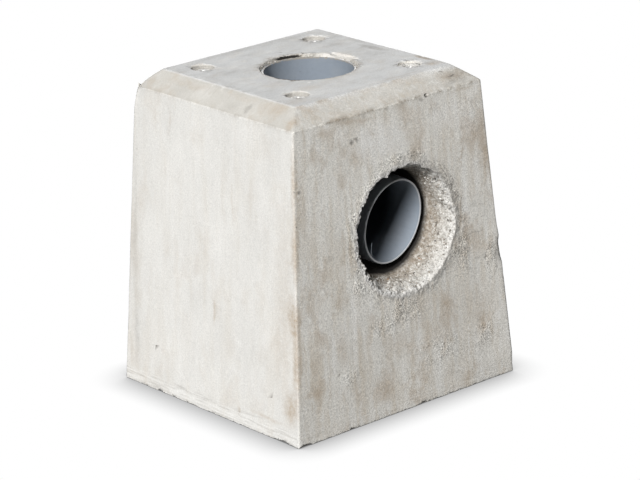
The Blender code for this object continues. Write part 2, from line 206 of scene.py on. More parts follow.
MARKS = {
    ("soil", "left"): (
        (-153, 320, 6, 66, 70, -3), (-157, 240, 8, 60, 80, -3), (-157, 158, 14, 40, 100, -6),
        (-163, 100, 10, 60, 90, -3), (-155, 46, 18, 30, 90), (-8, 131, 4, 22, 60, 4, 80),
        (-138, 150, 30, 150, 35, -3, 100), (-41, 275, 3.5, 40, 35, -3), (109, 350, 2.5, 30, 30),
        (-57, 20, 4, 5, 60, 0, 80), (-110, 24, 45, 4, 45, 3), (80, 352, 4, 26, 30, 3),
        (-42, 95, 12, 24, 22, 0, 100)),
    ("grime", "left"): (
        (147, 69, 8, 60, 50), (-81, 105, 5, 34, 30, 5), (30, 15, 90, 2.6, 42, -0.5, 80),
        (-70, 19, 60, 2.2, 40, -1.5, 80), (150, 200, 6, 150, 30), (150, 190, 24, 220, 22, 0, 100)),
    ("lime", "left"): (
        (-55, 105, 0.8, 6, 90, 5, 50), (-92, 112, 8, 0.8, 80, -25, 60), (60, 10, 70, 4, 35, -1, 80),
        (-90, 9, 60, 4, 45, 1, 80), (128, 224, 9, 0.8, 70, 30, 60)),
    ("pit", "left"): (
        (87, 129, 1.0, 1.2, 100, 0, 50), (108, 58, 1.1, 1.3, 100, 0, 50), (141, 271, 1.3, 0.9, 100, 0, 50),
        (-114, 58, 1.6, 1.1, 100, 20, 60), (-119, 52, 1.2, 1.5, 90, 0, 60), (-124, 55, 1.0, 1.0, 80, 0, 60),
        (-117, 36, 0.9, 1.6, 80, 0, 60)),
    ("soil", "front"): (
        (-102, 372, 28, 8, 50, 10), (-50, 376, 44, 4, 60, 6), (120, 378, 30, 3, 50),
        (-143, 290, 12, 90, 40, 0, 100), (112, 300, 1.6, 34, 75, 4, 80), (104, 225, 2.4, 42, 80, 6),
        (-38, 36, 26, 24, 80, 10, 80), (-99, 104, 12, 34, 45), (58, 86, 30, 22, 45),
        (146, 318, 9, 40, 40, -3), (-10, 84, 34, 24, 40), (-80, 40, 7, 30, 45), (150, 290, 6, 24, 45, 10),
        (128, 75, 9, 16, 50, 0, 80), (128, 180, 10, 34, 35), (95, 345, 34, 14, 15, 0, 100),
        (130, 90, 30, 60, 45, 0, 100), (-20, 230, 30, 60, 25, 0, 100), (20, 130, 60, 40, 30, 0, 100),
        (-128, 140, 14, 100, 10, 0, 100)),
    ("grime", "front"): (
        (35, 312, 26, 10, 50, 15), (86, 250, 9, 34, 55, 12, 80), (-107, 221, 7, 7, 75, 30),
        (-30, 310, 34, 5, 25, -28), (136, 229, 24, 0.8, 70, 8, 60), (131, 194, 27, 0.9, 80, 2, 60),
        (133, 216, 9, 0.8, 80, -14, 60), (132, 163, 18, 0.8, 80, -8, 60), (123, 49, 20, 1.4, 70, 14, 70),
        (85, 24, 34, 1.2, 60, 16, 70), (161, 169, 8, 22, 100, 4, 60), (50, 379, 7, 3.5, 90, 20, 70),
        (-40, 380, 5, 4, 80, 20, 80), (-3, 380, 6, 4, 70, 0, 80), (20, 381, 12, 3, 70, 0, 80),
        (60, 205, 12, 40, 30, 15, 100), (98, 180, 8, 36, 40, 6)),
    ("lime", "front"): (
        (-78, 120, 5, 75, 100, 3), (-114, 95, 4, 60, 70, 3), (-99, 60, 3, 40, 60, 2),
        (105, 62, 1.4, 50, 90, 2, 70), (158, 85, 1.2, 36, 90, 7, 70), (133, 280, 17, 50, 45, 3, 80),
        (-20, 345, 80, 34, 100, 5), (90, 355, 44, 26, 60, 0, 100), (124, 335, 22, 40, 60, 0, 100),
        (-60, 290, 40, 50, 30, 0, 100), (24, 86, 4, 60, 50, 2), (90, 27, 20, 1.2, 60, 20, 70),
        (-28, 55, 3, 40, 35), (133, 120, 10, 12, 35, 0, 80)),
    ("pit", "front"): (
        (-46, 350, 1.3, 1.3, 100, 0, 50), (-62, 352, 1.2, 1.2, 100, 0, 50), (-54, 355, 1.0, 1.0, 80, 0, 50),
        (-109, 332, 1.0, 1.2, 90, 0, 50), (-103, 330, 1.0, 1.1, 80, 0, 50),
        (-148, 311, 1.0, 1.1, 90, 0, 50), (-32, 131, 1.5, 1.1, 100, 0, 50), (-3, 125, 1.5, 1.1, 100, 0, 50),
        (-27, 117, 1.0, 1.0, 90, 0, 50), (-44, 113, 1.0, 1.0, 90, 0, 50), (76, 242, 3.0, 2.6, 50, 0, 40),
        (142, 160, 2.5, 2.0, 80, 0, 50), (60, 382.5, 3.6, 2.6, 90, 0, 60), (20, 164, 1.5, 1.0, 90, 10, 50),
        (-106, 74, 1.0, 1.0, 80, 0, 50)),
    ("scoured", "front"): (
        (-6, 119, 62, 26, 100, -6), (104, 178, 22, 52, 100, 8), (132, 62, 24, 22, 90),
        (-62, 178, 24, 36, 80), (60, 60, 60, 26, 70, 4), (-88, 66, 18, 16, 80), (88, 240, 12, 44, 90, 14),
        (20, 316, 50, 10, 70), (130, 345, 30, 30, 30), (-70, 250, 12, 40, 60, 12),
        (150, 160, 14, 40, 80, 0, 80)),
    ("grime", "top"): (
        (111, 0, 8, 34, 100, -6, 70), (119, 40, 6, 40, 60), (121, -84, 4, 22, 100, 0, 70),
        (-91, 7, 12, 18, 45, 20), (-20, 118, 80, 7, 55), (-36, 74, 8, 10, 35), (34, 66, 16, 8, 35),
        (80, 114, 40, 7, 40), (70, 90, 70, 50, 30, 0, 100), (90, -20, 40, 60, 25, 0, 100),
        (90, -95, 24, 20, 35), (-112, 40, 8, 60, 30, 0, 100)),
    ("soil", "top"): (
        (120, -80, 5, 22, 90, 0, 80), (112, -108, 18, 14, 80, 0, 100), (40, -121, 80, 3, 30),
        (65, 1.7, 7.5, 25, 45, -6, 50), (-64, -80, 30, 14, 45), (-105, -108, 20, 16, 45, 0, 100),
        (0, -70, 60, 14, 25, -6, 100)),
    ("lime", "top"): (
        (65, 1.7, 7.5, 25, 40, -6, 35), (-91, 12, 8, 10, 60, 0, 80), (-36, 74, 4, 9, 70, 30, 70),
        (34, 66, 14, 3, 70, 30, 70), (-47, -60, 3, 3, 90, 0, 60), (106, 96, 12, 3, 70, 30, 80),
        (90, -96, 20, 10, 40), (-70, -90, 60, 34, 50, 0, 100), (-100, 0, 24, 70, 30, 0, 100)),
    ("pit", "top"): (
        (76, -84, 2.2, 1.6, 80, 40, 60), (93, -97, 3.0, 1.0, 50, 40, 60), (21, 72, 1.6, 1.2, 70, 0, 60)),
    ("scoured", "top"): ((104, -110, 28, 22, 90, 0, 100),),
    ("scoured", "front chamfer"): ((118, 394, 40, 14, 35, 0, 100),),
    ("pit", "front chamfer"): (
        (116, 395, 9, 0.9, 80, -12, 60), (104, 399, 4, 0.8, 60, 0, 60)),
    ("soil", "front chamfer"): (
        (116, 394, 30, 7, 90, 0, 100), (0, 402, 110, 3, 30), (40, 389, 80, 4, 30, 0, 100)),
    ("soil", "left chamfer"): (
        (60, 398, 60, 5, 35, 0, 100), (-100, 398, 30, 8, 35, 0, 100), (-40, 400, 34, 4, 30, 0, 100),
        (129, 391, 10, 8, 50), (-139, 390, 10, 10, 80)),
    ("grime", "left chamfer"): (
        (-58, 391.5, 4.5, 7, 90, 28, 35), (-29, 391, 20, 6, 30, 0, 100), (-16, 396, 1.6, 8, 35, 24),
        (-2, 396, 1.8, 8, 30, 24), (12, 397, 1.6, 7, 35, 24), (27, 396, 2.2, 8, 30, 20),
        (46, 396, 2.4, 8, 30, 16), (64, 395, 3, 8, 25, 10), (0, 403, 130, 2, 30)),
    ("grime", "front chamfer"): (
        (118, 394, 16, 5, 90, -10), (110, 388, 26, 3, 70), (122, 393, 36, 14, 95, 0, 100)),
    ("lime", "left chamfer"): (
        (5, 403, 3.6, 3.0, 50, 0, 80), (24, 403, 2.6, 2.2, 50, 0, 80), (30, 394, 24, 8, 30, 0, 100)),
    ("lime", "front chamfer"): (
        (-83, 388, 14, 5, 35), (-20, 392, 34, 6, 30, 0, 100)),
}


def whole_row(row):
    """A mark's row with its turn and softness, also where it leaves them out."""
    return (*row, *USUAL_TURN_AND_SOFTNESS[len(row) - 5:])


def ellipse_reach(points, face, row):
    """For each point, 0 at the middle of a mark and 1 at its edge, or more outside it."""
    axes, sign, face_start, outward = FACES[face]
    across, along, half_width, half_height = (number / 1000 for number in row[:4])
    angle = math.radians(whole_row(row)[5])
    offset = points[:, axes] - np.array((across, along))
    beside = np.abs((points - np.array(face_start)) @ np.array(outward))
    close = np.abs(offset).max(axis=1) < 1.5 * max(half_width, half_height)
    near = np.flatnonzero(close & (beside < THROUGH))
    right_part, up_part = offset[near, 0] * sign, offset[near, 1]
    wide = (right_part * math.cos(angle) - up_part * math.sin(angle)) / half_width
    high = (right_part * math.sin(angle) + up_part * math.cos(angle)) / half_height
    reach = np.full(len(points), 9.0)
    reach[near] = np.hypot(wide, high)
    return reach


# The mesh is a lattice on the plain faces, and ever finer towards arrises, marks and broken edges
LATTICE = 0.011
FINE = 0.0022
LIP_FINE = 0.0015
COARSE = 0.0040
WORN_BAND = 0.006
ROUGH_BAND = 0.008
LIP_BAND = 0.022
FOOT_BAND = 0.019
SMEAR_BAND = 0.020
SEEN_WALL_DEPTH = 0.036
UNSEEN_SIDES = 0.128
FINENESS_EASE = 0.8
LEAST_MARK_EDGE = 0.0004
EDGES_ACROSS_MARK = 0.35
SMALL_MARK = 4
LENGTH_LEEWAY = 1.4
SPLIT_ROUNDS = 8


def wanted_length(points):
    """The longest edge that the surface may have at each point."""
    arris = distance_to_lines(points, all_arrises)
    unseen_side = np.maximum(points[:, 0], points[:, 1]) > UNSEEN_SIDES
    least = np.where(unseen_side, COARSE * 0.8, FINE)
    wanted = np.clip(FINE + FINENESS_EASE * (arris - WORN_BAND * 0.5), least, LATTICE)
    outside = np.abs(round_the_recess(points))
    wanted = np.minimum(wanted, np.clip(LIP_FINE + 0.6 * (outside - ROUGH_BAND), LIP_FINE, LATTICE))
    for (_, face), rows in MARKS.items():
        for row in rows:
            fineness = LEAST_MARK_EDGE + EDGES_ACROSS_MARK * min(row[2:4]) / 1000
            fineness *= 0.6 if max(row[2:4]) < SMALL_MARK else 1.0
            close = ellipse_reach(points, face, row) < 1.15
            wanted[close] = np.minimum(wanted[close], fineness)
    wall = on_recess_wall(points)
    depth = recess_place(points)[0][wall]
    wanted[wall] = np.where(depth < LIP_BAND, LIP_FINE, np.where(depth < SEEN_WALL_DEPTH, FINE, COARSE))
    near_top = points[:, 2] > TOP - CUP_DEPTH - 0.0015
    wanted[near_top & (np.abs(mouth_distance(points) - MOUTH_RADIUS) < 0.004)] = LIP_FINE
    wanted[near_top & (cup_distance(points) < CUP_RADIUS + 0.002)] = FINE
    wanted[hidden(points)] = 1.0
    return wanted


block_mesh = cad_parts["pier_block"].data.copy()
form = bmesh.new()
form.from_mesh(block_mesh)
bmesh.ops.remove_doubles(form, verts=form.verts, dist=0.00002)
bmesh.ops.dissolve_limit(form, angle_limit=math.radians(0.4), verts=form.verts, edges=form.edges)
for axis in range(3):
    direction = Vector([float(axis == i) for i in range(3)])
    for place in np.arange(block_low[axis] + LATTICE / 2, block_high[axis], LATTICE):
        everything = form.verts[:] + form.edges[:] + form.faces[:]
        bmesh.ops.bisect_plane(form, geom=everything, plane_co=direction * place, plane_no=direction)
bmesh.ops.remove_doubles(form, verts=form.verts, dist=0.00005)
bmesh.ops.triangulate(form, faces=form.faces, quad_method="BEAUTY", ngon_method="BEAUTY")
for _ in range(SPLIT_ROUNDS):
    middles = np.array([(edge.verts[0].co + edge.verts[1].co) * 0.5 for edge in form.edges])
    lengths = np.array([edge.calc_length() for edge in form.edges])
    too_long = lengths > wanted_length(middles) * LENGTH_LEEWAY
    if not too_long.any():
        break
    long_edges = [edge for edge, split in zip(form.edges, too_long) if split]
    bmesh.ops.subdivide_edges(form, edges=long_edges, cuts=1)
    bmesh.ops.triangulate(form, faces=[face for face in form.faces if len(face.verts) > 3])
form.normal_update()


def held(value):
    """A number kept between 0 and 1."""
    return min(1.0, max(0.0, value))


def placed(name, data):
    """A new object of the scene."""
    item = bpy.data.objects.new(name, data)
    bpy.context.scene.collection.objects.link(item)
    return item


def finish_mesh(form, mesh, sharp_from):
    """Writes a form into its mesh, shaded smooth but for edges that turn by more than an angle."""
    form.to_mesh(mesh)
    form.free()
    mesh.shade_smooth()
    mesh.set_sharp_from_angle(angle=math.radians(sharp_from))


def ragged(place, grain, seed):
    """Smooth noise from about -1 to 1 whose lumps are about one grain across."""
    shift = Vector((seed * 11.3, seed * 5.1, seed * 7.7))
    return noise.noise(place / grain + shift) + 0.5 * noise.noise(place / grain * 2.3 + shift)


def bite(place, grain, seed, least):
    """Only the lumps of that noise above a level: what breaks out of an edge."""
    return max(0.0, ragged(place, grain, seed) - least)


def wall_push(place, lip, leftness):
    """How far the recess's wall stands out at a place: most at its lip, and on its left."""
    lumps = (1.0 + 0.35 * leftness) * (0.0009 + 0.0024 * lip) * ragged(place, 0.0095, 2)
    return lumps + (0.0005 + 0.0004 * lip) * ragged(place, 0.0030, 3)


def swirled(place):
    """A point moved a few millimetres by noise, so that marks get uneven outlines."""
    return place + noise.noise_vector(place / 0.016) * 0.0022 + noise.noise_vector(place / 0.005) * 0.0010


points = np.array([vertex.co for vertex in form.verts])
swirled_points = np.array([swirled(vertex.co) for vertex in form.verts])
strengths = {name: np.zeros(len(points)) for name in ("soil", "grime", "lime", "pit", "scoured")}
for (name, face), rows in MARKS.items():
    for row in rows:
        small = max(row[2:4]) < SMALL_MARK
        reach = ellipse_reach(points if small else swirled_points, face, row)
        strength, _, softness = whole_row(row)[4:]
        inward = np.clip((1 - reach) / (softness / 100), 0, 1)
        strengths[name] += strength / 100 * inward * inward * (3 - 2 * inward)
smear = np.clip(1 - round_the_recess(points) / SMEAR_BAND, 0, 1)
smear[round_the_recess(points) < 0] = 0
rightness = np.clip((points[:, 0] - recess_centre.x) / 0.05, -1, 1)
strengths["scoured"] += smear
strengths["grime"] += smear * (0.35 + 0.40 * rightness)
arris_gap = distance_to_lines(points, all_arrises)
foot_gap = distance_to_lines(points, foot_arrises)
shoulder_gap = distance_to_lines(points, shoulder_arrises)
belly_gap = distance_to_lines(points, rising_arrises[1:2])
recess_depth = recess_place(points)[0]
recess_wall = on_recess_wall(points)
rim_gap = np.abs(round_the_recess(points))
unseen = hidden(points)
near_top = points[:, 2] > TOP - CUP_DEPTH - JUST_BELOW
mouth_gap = np.where(near_top, np.abs(mouth_distance(points) - MOUTH_RADIUS), 1.0)
in_cup = near_top & (cup_distance(points) < CUP_RADIUS + 0.0008) & (points[:, 2] < TOP - 0.0002)
layer_names = ("grainy", "broken", "deep", "topside", "chamfer", "front", "shoulder", "cup", "lip",
               *strengths)
layers = {name: form.verts.layers.float.new(name) for name in layer_names}

# How far the wear goes, and how coarse its lumps are
WAVE = 0.00012
WAVE_GRAIN = 0.070
PIT_DEPTH = 0.0006
SOFT_ARRIS = 0.006
CRISP_ARRIS = 0.0012
ARRIS_LOSS = 0.00045
FOOT_LOSS = 0.0017
CHIP_GRAIN = 0.014
CRUMB_GRAIN = 0.0045
RIM_LOSS = 0.0018
RIM_GRAIN = 0.006
RIM_CRUMBS = 0.0008
RIM_CRUMB_GRAIN = 0.0026
CUP_FILL = 0.0026
GRAINY_FROM, GRAINY_TO = 0.003, 0.030

# The slight belly of the side beside its right arris
BELLY = 0.0016
BELLY_REACH = 0.040
BELLY_FOOT = 0.010
BELLY_TOP = 0.205

# Corners that are worn round: where, how far from the corner, and how much is lost there
WORN_CORNERS = (
    (Vector((-SHOULDER_HALF, SHOULDER_HALF, SHOULDER)), 0.034, 0.0050),
    (Vector((TOP_HALF, -TOP_HALF, TOP)), 0.030, 0.0008))

# The mouth's lip: how wide and deep its wear goes, its crack and its edge painted dark as shade, and the
# middle and half of each arc in degrees
MOUTH_BAND = 0.0036
MOUTH_GRAIN = 0.005
CRACK_DEPTH = 0.0038
CRACK_WIDTH = 0.0010
SHADED_EDGE_DEPTH = 0.0022
SHADED_EDGE_WIDTH = 0.0016
OPEN_CRACK = (76, 21)
SHADED_EDGE_ARC = (205, 30)
SMOOTH_FLAKE = (14, 27)


def arc_share(turn, middle, half):
    """1 in the middle of an arc of the mouth, 0 at its ends, and less beyond them."""
    return 1 - abs((turn - middle + 180) % 360 - 180) / half


def worn_rim(vertex, place, near, leftness):
    """Breaks the recess's edge. Gives how far the surface moves outwards, and how broken it is."""
    side = 0.70 + 0.30 * leftness
    outward = place - recess_centre
    outward = (outward - face_outward * outward.dot(face_outward)).normalized()
    vertex.co -= outward * wall_push(place, 1.0, leftness) * near * near
    vertex[layers["lip"]] = min(1.0, near * 1.6) * (0.65 + 0.35 * leftness)
    push = -RIM_LOSS * near * side * bite(place, RIM_GRAIN, 2, -0.1)
    push += RIM_CRUMBS * near * ragged(place, RIM_CRUMB_GRAIN, 3) * side
    return push, held(near * 3.0 * side - 0.3 + 0.6 * ragged(place, 0.005, 8))


def worn_mouth(vertex, place, gap, on_top):
    """The same for the mouth's lip, with its open crack and an arc of its edge both painted nearly black as
    shade, and its smooth flake.
    """
    near = 1 - gap / MOUTH_BAND
    turn = math.degrees(math.atan2(place.y - MOUTH_CENTRE.y, place.x))
    open_crack = held(2.5 * arc_share(turn, *OPEN_CRACK) + 0.8 * ragged(place, 0.004, 11))
    shaded_edge = held(2.0 * arc_share(turn, *SHADED_EDGE_ARC) + 0.8 * ragged(place, 0.004, 12))
    smooth_flake = held(3 * arc_share(turn, *SMOOTH_FLAKE))
    push = 0.0005 * ragged(place, MOUTH_GRAIN, 4) - 0.0006 * near * bite(place, 0.008, 9, 0.0)
    broken = (0.75 * near if on_top else 0.8) * (1 - 0.85 * smooth_flake)
    for name, most in (("lime", 0.5), ("soil", 0.4)):
        vertex[layers[name]] = max(vertex[layers[name]], most * smooth_flake)
    # The crack and the arc of the edge are painted dark through the depth layer: painted shade in the
    # crevice
    if not on_top and place.z > TOP - CRACK_DEPTH:
        vertex[layers["deep"]] = 0.9 * open_crack
        broken = max(broken, open_crack)
        push -= CRACK_WIDTH * open_crack
    if place.z > TOP - SHADED_EDGE_DEPTH and gap < SHADED_EDGE_WIDTH:
        vertex[layers["deep"]] = max(vertex[layers["deep"]], 0.60 * shaded_edge)
        broken = max(broken, shaded_edge)
    vertex[layers["grainy"]] = float(place.z < TOP - 0.002 and open_crack < 0.3 and smooth_flake < 0.3)
    return push, broken


def worn_arris(vertex, place, gap, at_foot):
    """The same for an arris, with larger chips at the foot, paler there both as broken stone and as painted
    light on breaks that face down into shade.
    """
    wear = 1 - gap / WORN_BAND
    loss, crumbs, paleness = (FOOT_LOSS, 1.3, 1.2) if at_foot else (ARRIS_LOSS, 0.5, 0.5)
    missing = bite(place, CHIP_GRAIN, 5, 0.15) + crumbs * bite(place, CRUMB_GRAIN, 6, 0.1)
    # Foot chips take the pale lip colour: pale broken stone, and painted light where they face down into
    # shade
    vertex[layers["lip"]] = 0.75 if at_foot else 0.0
    return -loss * wear * wear * missing, min(1.0, wear * missing * paleness)


def slow_push(place, number):
    """How far the plain skin moves outwards: its waves, pits, worn corners and belly."""
    push = WAVE * (ragged(place, WAVE_GRAIN, 1) - 1.5) - PIT_DEPTH * strengths["pit"][number]
    for corner, reach, loss in WORN_CORNERS:
        push -= loss * max(0.0, 1 - (place - corner).length / reach) ** 2
    if belly_gap[number] < BELLY_REACH and BELLY_FOOT < place.z < BELLY_TOP:
        share = min(1.0, (BELLY_TOP - place.z) / 0.03, (place.z - BELLY_FOOT) / 0.015)
        push += BELLY * share * (1 - belly_gap[number] / BELLY_REACH)
    return push


for number, vertex in enumerate(form.verts):
    place = vertex.co.copy()
    normal = vertex.normal.copy()
    on_top = place.z > TOP - 0.0015 and normal.z > 0.8
    on_chamfer = place.z > SHOULDER + ON_SURFACE and max(abs(place.x), abs(place.y)) > TOP_HALF - 0.002
    softness = SOFT_ARRIS if place.y < -TOP_HALF + 0.003 and place.x > -TOP_HALF else CRISP_ARRIS
    below_top = held((TOP - 0.0003 - place.z) / softness)
    leftness = min(1.0, max(-1.0, (recess_centre.x - place.x) / 0.05))
    vertex[layers["chamfer"]] = below_top if on_chamfer else 0.0
    vertex[layers["topside"]] = 1 - below_top if on_chamfer else float(on_top)
    vertex[layers["front"]] = float(normal.y < -0.5 or normal.x > 0.5)
    vertex[layers["shoulder"]] = max(0.0, 1 - shoulder_gap[number] / 0.006)
    vertex[layers["cup"]] = in_cup[number] * (0.3 if place.x > 0 > place.y else 1.0)
    for name, values in strengths.items():
        vertex[layers[name]] = min(1.0, values[number])
    if unseen[number]:
        continue
    push = slow_push(place, number)
    broken = 0.0
    if recess_wall[number]:
        depth = recess_depth[number]
        lip = max(0.0, 1 - depth / LIP_BAND)
        push = wall_push(place, lip, leftness)
        broken = 1.0
        # The wall's depth, which also sets where it is painted dark as shade deep in the gap
        vertex[layers["deep"]] = depth / RECESS_DEPTH
        vertex[layers["grainy"]] = float(GRAINY_FROM < depth < GRAINY_TO)
        vertex[layers["lip"]] = lip * (0.85 + 0.1 * leftness)
    elif rim_gap[number] < ROUGH_BAND:
        push, broken = worn_rim(vertex, place, 1 - rim_gap[number] / ROUGH_BAND, leftness)
    elif mouth_gap[number] < MOUTH_BAND:
        push, broken = worn_mouth(vertex, place, mouth_gap[number], on_top)
    elif in_cup[number]:
        push = 0.00025 * ragged(place, 0.003, 10)
        if place.x > 0 > place.y and normal.z > 0.5:
            push += CUP_FILL * (1 + 0.3 * ragged(place, 0.004, 13))
    elif arris_gap[number] < WORN_BAND:
        chipped, broken = worn_arris(vertex, place, arris_gap[number], foot_gap[number] < WORN_BAND)
        push += chipped
    if place.z < 0.0002:
        vertex.co.z += max(0.0, -push) if arris_gap[number] < WORN_BAND else 0.0
    else:
        vertex.co += normal * push
    for axis in range(3):
        vertex.co[axis] = min(block_high[axis], max(block_low[axis], vertex.co[axis]))
    vertex[layers["broken"]] = broken
finish_mesh(form, block_mesh, 50)
block = placed("weathered_block", block_mesh)
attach(block, "root")
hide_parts("pier_block")


# Pier block: its concrete
# Pale grey cement with fine sand in it, streaked from the mould and stained by soil. Where the
# skin is broken away, the sand and small stones under it show, coarse and speckled.

def new_material(name):
    """A material with its node tree and its shader."""
    material = bpy.data.materials.new(name)
    material.use_nodes = True
    return material, material.node_tree, material.node_tree.nodes["Principled BSDF"]


def node(tree, kind, settings=None, **inputs):
    """Adds a node. Settings are its properties; inputs are values or sockets, by name or _number."""
    item = tree.nodes.new(kind)
    for name, value in (settings or {}).items():
        setattr(item, name, value)
    for name, value in inputs.items():
        key = int(name[1:]) if name[0] == "_" else name.replace("_", " ")
        if isinstance(value, bpy.types.NodeSocket):
            tree.links.new(value, item.inputs[key])
        else:
            item.inputs[key].default_value = value
    return item


def attribute(tree, name):
    """The value that a named layer of the mesh has."""
    return node(tree, "ShaderNodeAttribute", {"attribute_name": name}).outputs["Fac"]


def tree_of(*values):
    """The node tree of the first socket among some values."""
    return next(value.id_data for value in values if isinstance(value, bpy.types.NodeSocket))


def noise_at(place, size, stretch=(1, 1, 1), detail=3.0, roughness=0.55):
    """Noise whose lumps are about one size across, in metres, and longer where stretch is over 1."""
    narrow = tuple(1 / (size * factor) for factor in stretch)
    mapped = node(place.id_data, "ShaderNodeMapping", Vector=place, Scale=narrow)
    return node(place.id_data, "ShaderNodeTexNoise", Vector=mapped.outputs[0], Scale=1.0, Detail=detail,
                Roughness=roughness).outputs["Fac"]


def spread(value, low, high, out_low=0.0, out_high=1.0):
    """Maps a value from one range to another, held inside it."""
    item = node(value.id_data, "ShaderNodeMapRange", Value=value)
    for key, number in (("From Min", low), ("From Max", high), ("To Min", out_low), ("To Max", out_high)):
        item.inputs[key].default_value = number
    return item.outputs[0]


def sums(operation, first, second):
    """What one operation makes of two numbers."""
    tree = tree_of(first, second)
    return node(tree, "ShaderNodeMath", {"operation": operation}, _0=first, _1=second).outputs[0]


def multiply(first, second):
    return sums("MULTIPLY", first, second)


def mixed(share, first, second, blend="MIX"):
    """The first colour, with a share of the second mixed in."""
    settings = {"data_type": "RGBA", "blend_type": blend}
    item = node(tree_of(share, first, second), "ShaderNodeMix", settings, _0=share)
    for key, value in ((6, first), (7, second)):
        if isinstance(value, bpy.types.NodeSocket):
            item.id_data.links.new(value, item.inputs[key])
        else:
            item.inputs[key].default_value = (*value, 1.0)
    return item.outputs[2]


def over(skin, colour, share, strength):
    """A skin with a colour laid over it, by a share times a strength."""
    return mixed(multiply(share, strength), skin, colour)


def toned(colour, tone):
    """A colour times a grey value."""
    grey = node(tone.id_data, "ShaderNodeCombineColor", _0=tone, _1=tone, _2=tone).outputs[0]
    return mixed(1.0, colour, grey, "MULTIPLY")


def ramp(value, stops):
    """A colour for a value, from stops of a position and a colour."""
    item = node(value.id_data, "ShaderNodeValToRGB", Fac=value)
    points = item.color_ramp.elements
    while len(points) < len(stops):
        points.new(0.5)
    for point, (position, colour) in zip(points, stops):
        point.position = position
        point.color = (*colour, 1.0)
    return item.outputs[0]


def cells(place, size):
    """Cells about one size across: each point's distance from its cell's middle, and a random tone."""
    item = node(place.id_data, "ShaderNodeTexVoronoi", Vector=place, Scale=1 / size)
    tone = node(place.id_data, "ShaderNodeSeparateColor", _0=item.outputs["Color"]).outputs[0]
    return item.outputs["Distance"], tone


def round_spots(cell, radius, soft_radius, chance, sure_chance):
    """Round spots in the middles of the cells whose tone is past a chance."""
    distance, tone = cell
    return multiply(spread(distance, radius, soft_radius), spread(tone, chance, sure_chance))


def add_relief(shader, height, strength, distance):
    """Bumps on a material, by a height that stands out by a distance at most."""
    tree = height.id_data
    bump = node(tree, "ShaderNodeBump", Height=height, Strength=strength, Distance=distance)
    tree.links.new(bump.outputs[0], shader.inputs["Normal"])


CEMENT = (0.600, 0.590, 0.564)
CEMENT_FRONT = (0.600, 0.584, 0.545)
TROWELLED = (0.530, 0.533, 0.530)
CHAMFERED = (0.470, 0.455, 0.422)
SOIL = (0.380, 0.312, 0.238)
GREY_DIRT = (0.250, 0.235, 0.212)
LIME = (0.690, 0.682, 0.660)
BEIGE_BAND = (0.490, 0.440, 0.368)
PIT_SHADE_DARK = (0.170, 0.158, 0.142)
CUP_BEIGE = (0.360, 0.345, 0.318)
LIP_WHITE = (0.700, 0.690, 0.665)
PAINTED_GAP_SHADE = (0.020, 0.018, 0.016)
SOIL_AND_SHADE_BROWN = (0.215, 0.185, 0.145)
RUST = (0.330, 0.165, 0.075)
AIR_HOLE_CELL = 1 / 42
PALE_BINDER = (0.400, 0.380, 0.345)
BROWN_BINDER = (0.240, 0.195, 0.145)
STONE_TONES = ((0.00, (0.08, 0.073, 0.063)), (0.20, (0.20, 0.182, 0.158)), (0.42, (0.34, 0.315, 0.280)),
               (0.66, (0.46, 0.440, 0.405)), (1.00, (0.68, 0.670, 0.645)))

concrete, tree, shader = new_material("weathered_concrete")
place = node(tree, "ShaderNodeTexCoord").outputs["Object"]
broken, deep, topside, chamfer, front, shoulder, cup, lip, soil, grime, lime, pit, scoured = (
    attribute(tree, name) for name in layer_names[1:])
swirl = node(tree, "ShaderNodeTexNoise", Vector=place, Scale=70.0, Detail=4.0, Roughness=0.65)
swirl = node(tree, "ShaderNodeVectorMath", {"operation": "SUBTRACT"}, _0=swirl.outputs["Color"],
             _1=(0.5, 0.5, 0.5))
swirl = node(tree, "ShaderNodeVectorMath", {"operation": "SCALE"}, _0=swirl.outputs[0], Scale=0.009)
loose = node(tree, "ShaderNodeVectorMath", {"operation": "ADD"}, _0=place, _1=swirl.outputs[0]).outputs[0]

# The clean skin of each face
skin = mixed(front, CEMENT, CEMENT_FRONT)
skin = mixed(chamfer, skin, CHAMFERED)
skin = mixed(topside, skin, TROWELLED)
clouds = noise_at(loose, 0.050, (1, 1, 1.8), detail=5, roughness=0.65)
skin = toned(skin, spread(clouds, 0.30, 0.70, 0.94, 1.05))
height = node(tree, "ShaderNodeSeparateXYZ", Vector=place).outputs["Z"]
paler_upwards = multiply(front, spread(height, 0.08, 0.37, -0.035, 0.085))
skin = toned(skin, sums("ADD", 1.0, paler_upwards))
hairs = noise_at(loose, 0.0016, (1, 1, 16), detail=2)
skin = toned(skin, spread(hairs, 0.25, 0.75, 0.975, 1.025))
streaks = noise_at(loose, 0.007, (1, 1, 13), detail=3)
streaky = multiply(sums("SUBTRACT", 1.0, topside), spread(front, 0, 1, 0.10, 0.55))
skin = over(skin, LIME, spread(streaks, 0.55, 0.72), streaky)
skin = over(skin, BEIGE_BAND, spread(streaks, 0.46, 0.30), streaky)
bands = noise_at(loose, 0.020, (1, 1, 7), detail=3)
banded = multiply(spread(front, 0, 1, 0.18, 0.60), spread(chamfer, 0, 1, 1.0, 0.35))
skin = over(skin, BEIGE_BAND, spread(bands, 0.50, 0.70), banded)
blotches = noise_at(loose, 0.042, (1, 1, 1.7), detail=6, roughness=0.65)
blotchy = sums("MAXIMUM", spread(front, 0, 1, 0.22, 0.85), multiply(chamfer, 0.5))
skin = over(skin, SOIL, spread(blotches, 0.52, 0.70), blotchy)
trowel = noise_at(loose, 0.015, (2.4, 1.2, 1), detail=5, roughness=0.65)
skin = over(skin, LIME, topside, spread(trowel, 0.52, 0.72, 0, 0.40))
skin = over(skin, GREY_DIRT, topside, spread(trowel, 0.48, 0.28, 0, 0.32))
